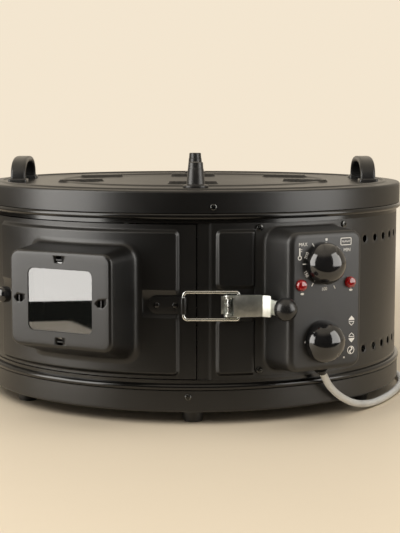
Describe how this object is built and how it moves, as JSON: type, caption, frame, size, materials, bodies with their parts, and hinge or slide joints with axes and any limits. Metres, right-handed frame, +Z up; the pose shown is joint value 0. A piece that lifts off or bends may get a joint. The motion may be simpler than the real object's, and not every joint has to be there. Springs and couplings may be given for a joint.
{
  "type": "round electric drum oven",
  "caption": "Round countertop electric oven: short black drum with a swing-out half wall as door, window box, toggle latch, control box with two dials, ring heaters and a mains lead.",
  "frame": {"origin": "on the drum's vertical axis, at the height of the feet's undersides", "axes": "+Z up along the drum's axis, -Y towards the front where door and fixed wall meet, +X to the right seen from the front"},
  "size_m": [0.4417, 0.561, 0.2395],
  "materials": {
    "enamel_black": "satin black powder coat",
    "panel_grey": "satin charcoal coat",
    "dark_steel": "blackened",
    "bright_steel": "bright zinc plate",
    "chrome_trim": "polished",
    "reflector_plate": "bright rolled sheet",
    "heater_sheath": "dull oxidised",
    "ceramic": "moulded insulating ceramic or thermoset",
    "black_plastic": "fine-grained phenolic",
    "gloss_black": "polished phenolic",
    "red_lens": "clear red moulding",
    "window_pane": "tempered clear glass",
    "copper": "copper bulb and capillary",
    "grey_sheath": "soft light-grey sheath",
    "brass_pins": "nickel-plated brass"
  },
  "bodies": {
    "housing": {"bottom_cover": "enamel_black", "top_cover": "enamel_black", "lower_rim": "enamel_black", "upper_rim": "enamel_black", "drum_wall": "enamel_black", "cover_screws": "dark_steel", "feet": "black_plastic", "foot_screws": "bright_steel", "left_handle": "black_plastic", "right_handle": "black_plastic", "handle_screws": "bright_steel", "top_pegs": "black_plastic", "peg_screws": "bright_steel", "lower_reflector": "reflector_plate", "upper_reflector": "reflector_plate", "lower_heater": "heater_sheath", "upper_heater": "heater_sheath", "heater_clips": "bright_steel", "heater_bushes": "ceramic", "wire_rack": "bright_steel", "control_box": "panel_grey", "control_box_screws": "dark_steel", "thermostat": "ceramic", "selector_switch": "black_plastic", "lamp_bodies": "ceramic", "lamp_lenses": "red_lens", "terminal_block": "ceramic", "thermostat_probe": "copper", "probe_clip": "bright_steel", "latch_base": "bright_steel", "latch_rivet": "bright_steel", "latch_pin": "bright_steel", "hinge_wall_leaves": "enamel_black", "hinge_pins": "bright_steel", "hinge_wall_rivets": "enamel_black", "cord_gland": "black_plastic", "cord_lead": "grey_sheath", "cord_coil": "grey_sheath", "cord_tail": "grey_sheath", "coil_tie": "black_plastic", "plug_body": "grey_sheath", "plug_pins": "brass_pins"},
    "door": {"door_panel": "enamel_black", "window_box": "enamel_black", "window_glass": "window_pane", "glass_retainer": "bright_steel", "door_knob": "black_plastic", "door_knob_collar": "chrome_trim", "door_knob_screw": "bright_steel", "catch_plate": "enamel_black", "catch_rivets": "enamel_black", "hinge_door_leaves": "enamel_black", "hinge_door_rivets": "enamel_black"},
    "bail": {"wire_bail": "bright_steel"},
    "lever": {"latch_lever": "bright_steel", "latch_ball": "gloss_black"},
    "thermostat_dial": {"thermostat_shaft": "bright_steel", "thermostat_knob": "gloss_black"},
    "selector_dial": {"selector_shaft": "bright_steel", "selector_knob": "gloss_black"}
  },
  "joints": [
    {"name": "door_swing", "type": "hinge", "parent": "housing", "child": "door", "pos_m": [-0.03142, 0.2137, 0.11], "axis": [0, 0, -1], "range_deg": [0, 110]},
    {"name": "bail_swing", "type": "hinge", "parent": "door", "child": "bail", "pos_m": [-0.00873, -0.21732, 0.111], "axis": [0, 0, -1], "range_deg": [0, 100]},
    {"name": "latch_lever_swing", "type": "hinge", "parent": "housing", "child": "lever", "pos_m": [0.03237, -0.21659, 0.111], "axis": [0, 0, -1], "range_deg": [0, 110]},
    {"name": "thermostat_turn", "type": "hinge", "parent": "housing", "child": "thermostat_dial", "pos_m": [0.11673, -0.21884, 0.15], "axis": [-0.4848, 0.8746, 0], "range_deg": [0, 300]},
    {"name": "selector_turn", "type": "hinge", "parent": "housing", "child": "selector_dial", "pos_m": [0.11673, -0.21884, 0.0792], "axis": [-0.4848, 0.8746, 0], "range_deg": [0, 240]}
  ]
}
